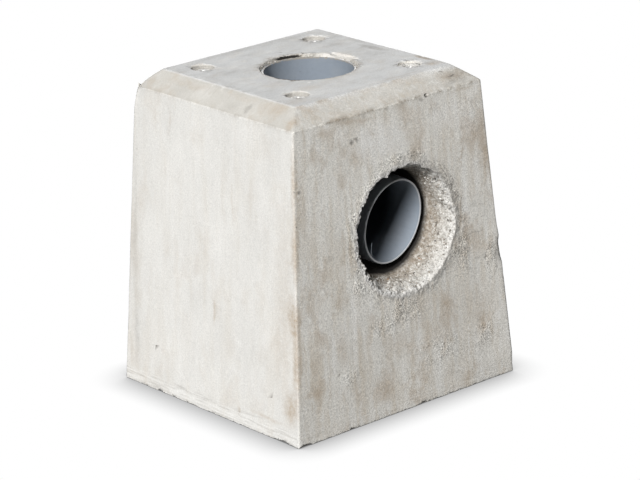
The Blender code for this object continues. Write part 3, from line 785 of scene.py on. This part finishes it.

# Stains, scrapes and pale patches where the block has them, then a dark line along the shoulder that is
# partly soil and partly painted shade, pale worn stone along the foot, and the beige cups round the inserts
patchy = spread(noise_at(loose, 0.006, detail=4, roughness=0.7), 0.35, 0.60, 0.40, 1.0)
for stained, strength, colour in ((soil, 0.95, SOIL), (lime, 0.9, LIME), (grime, 0.60, GREY_DIRT)):
    skin = over(skin, colour, multiply(stained, patchy), strength)
dirt = spread(noise_at(loose, 0.012, detail=4, roughness=0.7), 0.42, 0.62)
# Soil and painted shade along the shoulder, stronger on the front faces
shoulder_soil_and_shade = multiply(multiply(shoulder, shoulder), dirt)
skin = over(skin, SOIL_AND_SHADE_BROWN, shoulder_soil_and_shade, spread(front, 0, 1, 0.45, 1.0))
uneven = spread(noise_at(place, 0.012, detail=4), 0.3, 0.7, -0.0012, 0.0012)
level = sums("ADD", height, uneven)
foot = spread(level, FOOT_BAND, FOOT_BAND - 0.0018)
foot = multiply(foot, spread(front, 0, 1, 1.0, 0.45))
brushed = noise_at(place, 0.0024, (18, 18, 1), detail=5, roughness=0.65)
skin = over(skin, LIME, foot, spread(brushed, 0.50, 0.62, 0, 0.5))
skin = over(skin, GREY_DIRT, foot, spread(brushed, 0.48, 0.36, 0, 0.35))
skin = mixed(cup, skin, CUP_BEIGE)

# Sand in the skin, stronger where it is scoured, and small air holes and pits painted dark as their shade
sand = noise_at(place, 0.0018, detail=3, roughness=0.75)
grit = noise_at(place, 0.0030, detail=3, roughness=0.7)
rough = multiply(scoured, spread(noise_at(place, 0.016, detail=3), 0.35, 0.55))
amount = sums("ADD", spread(front, 0, 1, 0.16, 0.36), multiply(rough, 0.90))
amount = multiply(amount, spread(chamfer, 0, 1, 1.0, 0.62))
speck = spread(sand, 0.25, 0.75, -1.0, 1.0)
skin = toned(skin, sums("ADD", multiply(speck, amount), 1.0))
hole = round_spots(cells(place, AIR_HOLE_CELL), 0.045, 0.020, 0.92, 0.95)
# Air holes and pits painted dark: painted shade
holes = sums("MAXIMUM", pit, multiply(hole, 0.7))
skin = mixed(holes, skin, PIT_SHADE_DARK)

# Broken stone: sand and small stones in cement, browner inside the recess, with specks of rust, and painted
# shade nearly black deep in the gap round the spigot
fine_stones = cells(place, 0.0019)[1]
coarse_stones = cells(loose, 0.0042)[1]
tone = sums("ADD", multiply(fine_stones, 0.62), multiply(coarse_stones, 0.38))
stone = ramp(tone, STONE_TONES)
binder = mixed(spread(deep, 0.12, 0.40), PALE_BINDER, BROWN_BINDER)
stone = mixed(spread(noise_at(place, 0.007, detail=3), 0.35, 0.65, 0.20, 0.75), stone, binder)
stone = toned(stone, spread(grit, 0.25, 0.75, 0.78, 1.22))
rust_spots = spread(noise_at(place, 0.010, detail=2), 0.715, 0.76)
stone = mixed(rust_spots, stone, RUST)
lip_patches = spread(noise_at(place, 0.0040, detail=3, roughness=0.7), 0.32, 0.50)
peppered = toned(LIP_WHITE, spread(fine_stones, 0.00, 0.45, 0.55, 1.02))
stone = over(stone, peppered, lip, lip_patches)
# Painted shade: the deepest part of the recess wall, the mouth's crack and an arc of its edge go nearly
# black
stone = mixed(spread(deep, 0.51, 0.61), stone, PAINTED_GAP_SHADE)
tree.links.new(mixed(broken, skin, stone), shader.inputs["Base Color"])
shader.inputs["Roughness"].default_value = 0.92
shader.inputs["Specular IOR Level"].default_value = 0.2

# Relief: sand everywhere, deeper in scoured and broken stone
relief = multiply(sums("ADD", sand, grit), sums("ADD", amount, multiply(broken, 0.9)))
add_relief(shader, relief, 0.8, 0.0011)
block_mesh.materials.clear()
block_mesh.materials.append(concrete)


# Grains in the broken stone
# Sand and small stones that stand out of the broken concrete, in the recess and round the mouth.
# They are bound in the same cement, and they are scattered with a fixed seed.

GRAIN_TONES = ((0.00, (0.09, 0.082, 0.072)), (0.25, (0.30, 0.270, 0.23)), (0.60, (0.50, 0.48, 0.44)),
               (1.00, (0.70, 0.69, 0.66)))
grain_stone, tree, shader = new_material("grain_stone")
place = node(tree, "ShaderNodeTexCoord").outputs["Object"]
tone = attribute(tree, "tone")
mottle = spread(noise_at(place, 0.0012), 0.3, 0.7, 0.8, 1.15)
tree.links.new(toned(ramp(tone, GRAIN_TONES), mottle), shader.inputs["Base Color"])
shader.inputs["Roughness"].default_value = 0.85
shader.inputs["Specular IOR Level"].default_value = 0.2


def geometry_tree(name, inputs):
    """An empty geometry tree with a geometry input, some named number inputs, and an output."""
    tree = bpy.data.node_groups.new(name, "GeometryNodeTree")
    tree.interface.new_socket("Geometry", in_out="INPUT", socket_type="NodeSocketGeometry")
    for label, kind in inputs:
        tree.interface.new_socket(label, in_out="INPUT", socket_type=f"NodeSocket{kind}")
    tree.interface.new_socket("Geometry", in_out="OUTPUT", socket_type="NodeSocketGeometry")
    return tree, tree.nodes.new("NodeGroupInput").outputs


def finish_tree(tree, geometry, material):
    """Ends a tree: instances made real, and the material set."""
    real = node(tree, "GeometryNodeRealizeInstances", Geometry=geometry).outputs[0]
    dressed = node(tree, "GeometryNodeSetMaterial", Geometry=real, Material=material).outputs[0]
    tree.links.new(dressed, tree.nodes.new("NodeGroupOutput").inputs[0])


def made_by_tree(name, mesh, tree, values):
    """The plain mesh object that a geometry tree makes from a mesh, with its inputs set by name."""
    carrier = placed(name, mesh)
    modifier = carrier.modifiers.new(name, "NODES")
    modifier.node_group = tree
    for socket in tree.interface.items_tree:
        if socket.in_out == "INPUT" and socket.name in values:
            modifier[socket.identifier] = values[socket.name]
    evaluated = carrier.evaluated_get(bpy.context.evaluated_depsgraph_get())
    made = bpy.data.meshes.new_from_object(evaluated)
    carrier.modifiers.remove(modifier)
    carrier.data = made
    return carrier


tree, given = geometry_tree("scattered_grains", (
    ("Grains per square metre", "Float"), ("Least size", "Float"), ("Largest size", "Float"),
    ("Seed", "Int")))
where = node(tree, "GeometryNodeInputNamedAttribute", {"data_type": "FLOAT"}, Name="grainy").outputs[0]
above = {"data_type": "FLOAT", "operation": "GREATER_THAN"}
where = node(tree, "FunctionNodeCompare", above, _0=where, _1=0.55)
spots = node(tree, "GeometryNodeDistributePointsOnFaces", Mesh=given["Geometry"], Selection=where.outputs[0],
             Density=given["Grains per square metre"], Seed=given["Seed"])
share = node(tree, "FunctionNodeRandomValue", {"data_type": "FLOAT"}, Seed=given["Seed"]).outputs[1]
few_large = sums("POWER", share, 4.0)
size = node(tree, "ShaderNodeMapRange", Value=few_large, To_Min=given["Least size"],
            To_Max=given["Largest size"])
any_vector = {"data_type": "FLOAT_VECTOR"}
turn = node(tree, "FunctionNodeRandomValue", any_vector, _0=(0, 0, 0), _1=(6.28, 6.28, 6.28))
squat = node(tree, "FunctionNodeRandomValue", any_vector, _0=(0.7, 0.7, 0.45), _1=(1.3, 1.2, 0.8))
sizes = node(tree, "ShaderNodeVectorMath", {"operation": "SCALE"}, _0=squat.outputs[0],
             Scale=size.outputs[0])
pebble = node(tree, "GeometryNodeMeshIcoSphere", Radius=0.5, Subdivisions=1).outputs[0]
grains = node(tree, "GeometryNodeInstanceOnPoints", Points=spots.outputs["Points"], Instance=pebble,
              Rotation=turn.outputs[0], Scale=sizes.outputs[0]).outputs[0]
random_tone = node(tree, "FunctionNodeRandomValue", {"data_type": "FLOAT"}).outputs[1]
grains = node(tree, "GeometryNodeStoreNamedAttribute", {"data_type": "FLOAT", "domain": "INSTANCE"},
              Geometry=grains, Name="tone", Value=random_tone).outputs[0]
finish_tree(tree, grains, grain_stone)
grains = made_by_tree("broken_stone_grains", block_mesh.copy(), tree, {
    "Grains per square metre": 150000.0, "Least size": 0.0009, "Largest size": 0.0036, "Seed": 7})
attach(grains, "root")


# Conduit bend
# A moulded bend of grey pipe plastic, set in the mould before the concrete was poured. Its plain
# socket opens upwards. Its spigot has a bevelled end inside the recess, still with a shaving on it.

PIPE_RADIUS = 0.055
PIPE_WALL = 0.0032
SOCKET_RADIUS = 0.0556
SOCKET_DEPTH = 0.056
BELL_TAPER = 0.006
MOUTH_DROP = 0.004
RIM_SETBACK = 0.029
RIM_BEVEL_LENGTH = 0.007
RIM_BEVEL = 0.0011
RIM_ROUND = 0.0004
BEVEL_BREAK = 0.0016
RING_POINTS = 120
BEND_RINGS = 36

# The pale edge where the spigot was cut, and two rings behind it where its colour ends
CUT_EDGE_WIDTH = 0.0010
CUT_EDGE_RINGS = (0.0040, 0.0012)

# Where the inside is painted dark as shade: behind the rim and below the socket, with soft ends
INSIDE_SHADE_FROM_RIM = 0.026
INSIDE_SHADE_RIM_FADE = 0.028
INSIDE_SHADE_TOP = 0.320
INSIDE_SHADE_TOP_FADE = 0.030
mouth_rim = MOUTH_CENTRE - Vector((0, 0, MOUTH_DROP))
spigot_rim = outlet_axis_at(0) - outlet_direction * RIM_SETBACK
down = Vector((0, 0, -1))


def bend_rings(radius):
    """Rings of one radius round the bend, from its top to where the spigot begins."""
    for step in range(BEND_RINGS + 1):
        angle = BEND_TURN * step / BEND_RINGS
        yield bend_point(angle), heading * math.sin(angle) + down * math.cos(angle), radius


def rings_along(start, direction, *rows):
    """Rings on a straight axis, from rows of a distance along it and a radius."""
    return [(start + direction * distance, direction, radius) for distance, radius in rows]


inner_radius = PIPE_RADIUS - PIPE_WALL
outer_socket = SOCKET_RADIUS + PIPE_WALL
bevelled = PIPE_RADIUS - RIM_BEVEL
outside = rings_along(mouth_rim, down, (0, outer_socket - RIM_ROUND), (RIM_ROUND, outer_socket),
                      (SOCKET_DEPTH, outer_socket), (SOCKET_DEPTH + BELL_TAPER, PIPE_RADIUS))
outside += bend_rings(PIPE_RADIUS)
outside += rings_along(spigot_rim, outlet_direction, (-RIM_BEVEL_LENGTH, PIPE_RADIUS),
                       (-BEVEL_BREAK, PIPE_RADIUS - RIM_BEVEL * 0.8), (-RIM_ROUND, bevelled),
                       (0, bevelled - RIM_ROUND))
inside = rings_along(mouth_rim, down, (0, SOCKET_RADIUS + RIM_ROUND), (RIM_ROUND, SOCKET_RADIUS),
                     (SOCKET_DEPTH, SOCKET_RADIUS), (SOCKET_DEPTH + PIPE_WALL / 2, inner_radius))
inside += bend_rings(inner_radius)
inside += rings_along(spigot_rim, outlet_direction, *((-back, inner_radius) for back in CUT_EDGE_RINGS),
                      (-RIM_ROUND, inner_radius), (0, inner_radius + RIM_ROUND))

form = bmesh.new()
cut_edge = form.verts.layers.float.new("cut_edge")
inside_shade = form.verts.layers.float.new("inside_shade")
side = down.cross(heading)
turns = [2 * math.pi * i / RING_POINTS for i in range(RING_POINTS)]
rings = []
for centre, direction, radius in outside + inside[::-1]:
    across = side.cross(direction)
    rings.append([
        form.verts.new(centre + (side * math.cos(t) + across * math.sin(t)) * radius) for t in turns])
for first, second in zip(rings, rings[1:] + rings[:1]):
    for i in range(RING_POINTS):
        j = (i + 1) % RING_POINTS
        form.faces.new((first[i], first[j], second[j], second[i]))

# The shaving left on the rim where the spigot was cut
SHAVING_TURN = math.radians(318)
SHAVING_RADIUS = 0.00035
rim_across = side.cross(outlet_direction)
at_rim = side * math.cos(SHAVING_TURN) + rim_across * math.sin(SHAVING_TURN)
shaving_start = spigot_rim + at_rim * inner_radius
curl = [shaving_start + at_rim * -0.007 * t * t - outlet_direction * 0.004 * t + Vector((0, 0, 0.010 * t))
        for t in (0, 0.25, 0.5, 0.75, 1)]
shaving = [[form.verts.new(point + (side * math.cos(t) + outlet_direction * math.sin(t)) * SHAVING_RADIUS)
            for t in (0, 2.1, 4.2)] for point in curl]
for first, second in zip(shaving, shaving[1:]):
    for i in range(3):
        form.faces.new((first[i], first[(i + 1) % 3], second[(i + 1) % 3], second[i]))
form.faces.new(shaving[0][::-1])
form.faces.new(shaving[-1])
for vertex in form.verts:
    behind = -(vertex.co - spigot_rim).dot(outlet_direction)
    vertex[cut_edge] = float(behind < CUT_EDGE_WIDTH)
    below_socket = held((INSIDE_SHADE_TOP - vertex.co.z) / INSIDE_SHADE_TOP_FADE)
    vertex[inside_shade] = held((behind - INSIDE_SHADE_FROM_RIM) / INSIDE_SHADE_RIM_FADE) * below_socket
bmesh.ops.recalc_face_normals(form, faces=form.faces)
bend_mesh = bpy.data.meshes.new("moulded_bend")
finish_mesh(form, bend_mesh, 28)
bend = placed("moulded_bend", bend_mesh)
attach(bend, "root")
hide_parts("conduit_bend")

PLASTIC = (0.205, 0.234, 0.270)
PLASTIC_DUSTY = (0.290, 0.302, 0.315)
SPILLED = (0.270, 0.250, 0.220)
CUT_EDGE = (0.420, 0.435, 0.450)
INSIDE_SHADE_DARK = (0.012, 0.013, 0.017)
SPECK_CELL = 1 / 150
DARK_SPECK = (0.070, 0.065, 0.060)
PALE_SPECK = (0.600, 0.570, 0.520)
pipe_plastic, tree, shader = new_material("pipe_plastic")
place = node(tree, "ShaderNodeTexCoord").outputs["Object"]
dust = spread(noise_at(place, 0.030, detail=4), 0.4, 0.75, 0.0, 0.35)
shade = mixed(dust, PLASTIC, PLASTIC_DUSTY)
height = node(tree, "ShaderNodeSeparateXYZ", Vector=place).outputs["Z"]
spill = spread(height, TOP - 0.0062, TOP - 0.0046)
spill = multiply(spill, spread(noise_at(place, 0.003, detail=3), 0.40, 0.50))
shade = mixed(spill, shade, SPILLED)
# Painted shade: the bend's deep inside goes nearly black
shade = over(shade, INSIDE_SHADE_DARK, attribute(tree, "inside_shade"), 0.95)
shade = mixed(attribute(tree, "cut_edge"), shade, CUT_EDGE)
drawn_lines = noise_at(place, 0.004, (1, 9, 1), detail=2)
shade = toned(shade, spread(drawn_lines, 0.3, 0.7, 0.97, 1.03))
specks = cells(place, SPECK_CELL)
shade = over(shade, DARK_SPECK, round_spots(specks, 0.14, 0.08, 0.90, 0.92), 0.8)
shade = over(shade, PALE_SPECK, round_spots(specks, 0.12, 0.07, 0.05, 0.03), 0.6)
tree.links.new(shade, shader.inputs["Base Color"])
scuffs = noise_at(place, 0.012, detail=4)
tree.links.new(spread(scuffs, 0.3, 0.7, 0.36, 0.52), shader.inputs["Roughness"])
# The painted shade inside also takes the sheen away
tree.links.new(spread(attribute(tree, "inside_shade"), 0, 0.8, 0.35, 0.02), shader.inputs["Specular IOR Level"])
add_relief(shader, drawn_lines, 0.12, 0.0004)
bend_mesh.materials.append(pipe_plastic)


# Threaded inserts
# Four turned steel sleeves, zinc plated and dull, set in shallow cups in the top face. Each has a
# blind thread for an M12 bolt, cut from a bevelled mouth, and a wide foot that anchors it.

SLEEVE_RADIUS = 0.0085
THREAD_ROOT = 0.0061
THREAD_PITCH = 0.00175
THREAD_DEPTH = 0.0011
BORE_DEPTH = 0.045
SLEEVE_LENGTH = 0.060
FOOT_RADIUS = 0.0135
FOOT_THICKNESS = 0.004
MOUTH_BEVEL = 0.0009
SLEEVE_STEPS = 48
ZINC = (0.740, 0.740, 0.730)
TARNISHED = (0.420, 0.400, 0.370)
sleeve_top = TOP - CUP_DEPTH + 0.001

profile = [(0.0, -BORE_DEPTH - THREAD_ROOT / 2), (THREAD_ROOT, -BORE_DEPTH), (THREAD_ROOT, -MOUTH_BEVEL)]
profile += [(THREAD_ROOT + MOUTH_BEVEL, -0.0001), (THREAD_ROOT + MOUTH_BEVEL + 0.0001, 0)]
profile += [(SLEEVE_RADIUS - 0.0005, 0), (SLEEVE_RADIUS - 0.0001, -0.0001), (SLEEVE_RADIUS, -0.0005)]
profile += [(SLEEVE_RADIUS, FOOT_THICKNESS - SLEEVE_LENGTH), (FOOT_RADIUS, FOOT_THICKNESS - SLEEVE_LENGTH)]
profile += [(FOOT_RADIUS, -SLEEVE_LENGTH), (0, -SLEEVE_LENGTH)]
form = bmesh.new()
rim_points = [form.verts.new((radius, 0, height)) for radius, height in profile]
outline = [form.edges.new(pair) for pair in zip(rim_points, rim_points[1:])]
bmesh.ops.spin(form, geom=rim_points + outline, cent=(0, 0, 0), axis=(0, 0, 1), steps=SLEEVE_STEPS,
               angle=2 * math.pi, use_merge=True)
bmesh.ops.remove_doubles(form, verts=form.verts, dist=0.00002)
bmesh.ops.recalc_face_normals(form, faces=form.faces)
sleeve_mesh = bpy.data.meshes.new("sleeve")
finish_mesh(form, sleeve_mesh, 35)

zinc, tree, shader = new_material("dull_zinc")
place = node(tree, "ShaderNodeTexCoord").outputs["Object"]
tarnish = spread(noise_at(place, 0.004, detail=3), 0.35, 0.7)
shade = mixed(tarnish, ZINC, TARNISHED)
tree.links.new(shade, shader.inputs["Base Color"])
tree.links.new(spread(tarnish, 0, 1, 0.24, 0.5), shader.inputs["Roughness"])
shader.inputs["Metallic"].default_value = 1.0
add_relief(shader, noise_at(place, 0.0006), 0.2, 0.0002)

tree, given = geometry_tree("threaded_sleeves", [(label, "Float") for label in (
    "Spacing", "Mouth height", "Thread radius", "Thread pitch", "Thread length", "Thread depth")])
turns = sums("DIVIDE", given["Thread length"], given["Thread pitch"])
radius = given["Thread radius"]
helix = node(tree, "GeometryNodeCurveSpiral", Resolution=28, Rotations=turns, Start_Radius=radius,
             End_Radius=radius, Height=given["Thread length"])
ridge = node(tree, "GeometryNodeCurvePrimitiveCircle", Resolution=4, Radius=given["Thread depth"])
thread = node(tree, "GeometryNodeCurveToMesh", Curve=helix.outputs[0], Profile_Curve=ridge.outputs["Curve"],
              Fill_Caps=True).outputs[0]
thread_foot = sums("SUBTRACT", multiply(given["Thread length"], -1.0), MOUTH_BEVEL)
sunk = node(tree, "ShaderNodeCombineXYZ", Z=thread_foot)
thread = node(tree, "GeometryNodeTransform", Geometry=thread, Translation=sunk.outputs[0]).outputs[0]
both = tree.nodes.new("GeometryNodeJoinGeometry")
for part in (given["Geometry"], thread):
    tree.links.new(part, both.inputs[0])
corners = node(tree, "GeometryNodeMeshGrid", Size_X=given["Spacing"], Size_Y=given["Spacing"], Vertices_X=2,
               Vertices_Y=2).outputs[0]
raised = node(tree, "ShaderNodeCombineXYZ", Z=given["Mouth height"])
corners = node(tree, "GeometryNodeTransform", Geometry=corners, Translation=raised.outputs[0]).outputs[0]
four = node(tree, "GeometryNodeInstanceOnPoints", Points=corners, Instance=both.outputs[0]).outputs[0]
finish_tree(tree, four, zinc)
sleeves = made_by_tree("threaded_sleeves", sleeve_mesh, tree, {
    "Spacing": 2 * CUP_REACH, "Mouth height": sleeve_top, "Thread radius": THREAD_ROOT + 0.0002,
    "Thread pitch": THREAD_PITCH, "Thread length": BORE_DEPTH - 0.004, "Thread depth": THREAD_DEPTH})
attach(sleeves, "root")
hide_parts(*[f"threaded_insert_{number}" for number in range(1, 5)])


# Floor, light and camera
# A white floor that shows only the shadow close round the foot, one broad lamp from the left of
# the picture, a faint pale sky, and a long lens from just above the block.

CONTACT_REACH = 0.05
FLOOR_SIZE = 12.0
FLOOR_GREY = (0.20, 0.20, 0.20, 1)
SKY_STRENGTH = 0.05
bpy.ops.mesh.primitive_plane_add(size=FLOOR_SIZE)
floor = bpy.context.object
floor.name = "floor"
white, tree, shader = new_material("white_floor")
rays = node(tree, "ShaderNodeLightPath")


def shows_background(rays):
    """1 for the rays that see the white background: from the camera, off gloss and through glass."""
    seen = sums("MAXIMUM", rays.outputs["Is Camera Ray"], rays.outputs["Is Glossy Ray"])
    return sums("MAXIMUM", seen, rays.outputs["Is Transmission Ray"])


near_foot = node(tree, "ShaderNodeAmbientOcclusion", {"samples": 24}, Distance=CONTACT_REACH)
shown = node(tree, "ShaderNodeEmission", Color=near_foot.outputs["Color"], Strength=1.0)
shader.inputs["Base Color"].default_value = FLOOR_GREY
shader.inputs["Roughness"].default_value = 1.0
shader.inputs["Specular IOR Level"].default_value = 0.0
either = node(tree, "ShaderNodeMixShader", _0=shows_background(rays), _1=shader.outputs[0],
              _2=shown.outputs[0])
tree.links.new(either.outputs[0], tree.nodes["Material Output"].inputs["Surface"])
floor.data.materials.append(white)
floor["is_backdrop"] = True

world = bpy.data.worlds.new("pale_sky")
bpy.context.scene.world = world
world.use_nodes = True
tree = world.node_tree
rays = node(tree, "ShaderNodeLightPath")
strength = spread(shows_background(rays), 0, 1, SKY_STRENGTH, 1.0)
tree.links.new(strength, tree.nodes["Background"].inputs["Strength"])
tree.nodes["Background"].inputs["Color"].default_value = (1, 1, 1, 1)


def add_sun(name, towards, strength, spread_angle):
    """A lamp at infinity that shines from the direction given."""
    lamp = bpy.data.lights.new(name, "SUN")
    lamp.energy = strength
    lamp.angle = math.radians(spread_angle)
    placed(name, lamp).rotation_euler = Vector(towards).to_track_quat("Z", "Y").to_euler()


add_sun("key", (-0.727, -0.412, 0.550), 5.10, 15)
add_sun("back", (0.62, 0.75, 0.22), 1.6, 40)

CAMERA_AZIMUTH = math.radians(-40.01)
CAMERA_ELEVATION = math.radians(18.82)
CAMERA_ROLL = math.radians(-2.36)
CAMERA_DISTANCE = 9.174 * TOP
CAMERA_ASIDE = 0.0227 * TOP
CAMERA_LIFT = -0.0541 * TOP
FOCAL_PIXELS = 2981.8
PICTURE_WIDTH = 640

back = Vector((math.sin(CAMERA_AZIMUTH) * math.cos(CAMERA_ELEVATION),
               -math.cos(CAMERA_AZIMUTH) * math.cos(CAMERA_ELEVATION), math.sin(CAMERA_ELEVATION)))
right = Vector((0, 0, 1)).cross(back).normalized()
up = back.cross(right)
rolled_right = right * math.cos(CAMERA_ROLL) + up * math.sin(CAMERA_ROLL)
rolled_up = up * math.cos(CAMERA_ROLL) - right * math.sin(CAMERA_ROLL)
station = Vector((0, 0, TOP / 2)) + rolled_right * CAMERA_ASIDE + rolled_up * CAMERA_LIFT
station += back * CAMERA_DISTANCE
lens = bpy.data.cameras.new("camera")
lens.sensor_width = 36.0
lens.lens = FOCAL_PIXELS * lens.sensor_width / PICTURE_WIDTH
camera = placed("camera", lens)
axes = Matrix((rolled_right, rolled_up, back)).transposed().to_4x4()
camera.matrix_world = Matrix.Translation(station) @ axes
bpy.context.scene.camera = camera
bpy.context.scene.view_settings.view_transform = "Standard"

rows = {"cad": cad_bounds, "visual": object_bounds()}
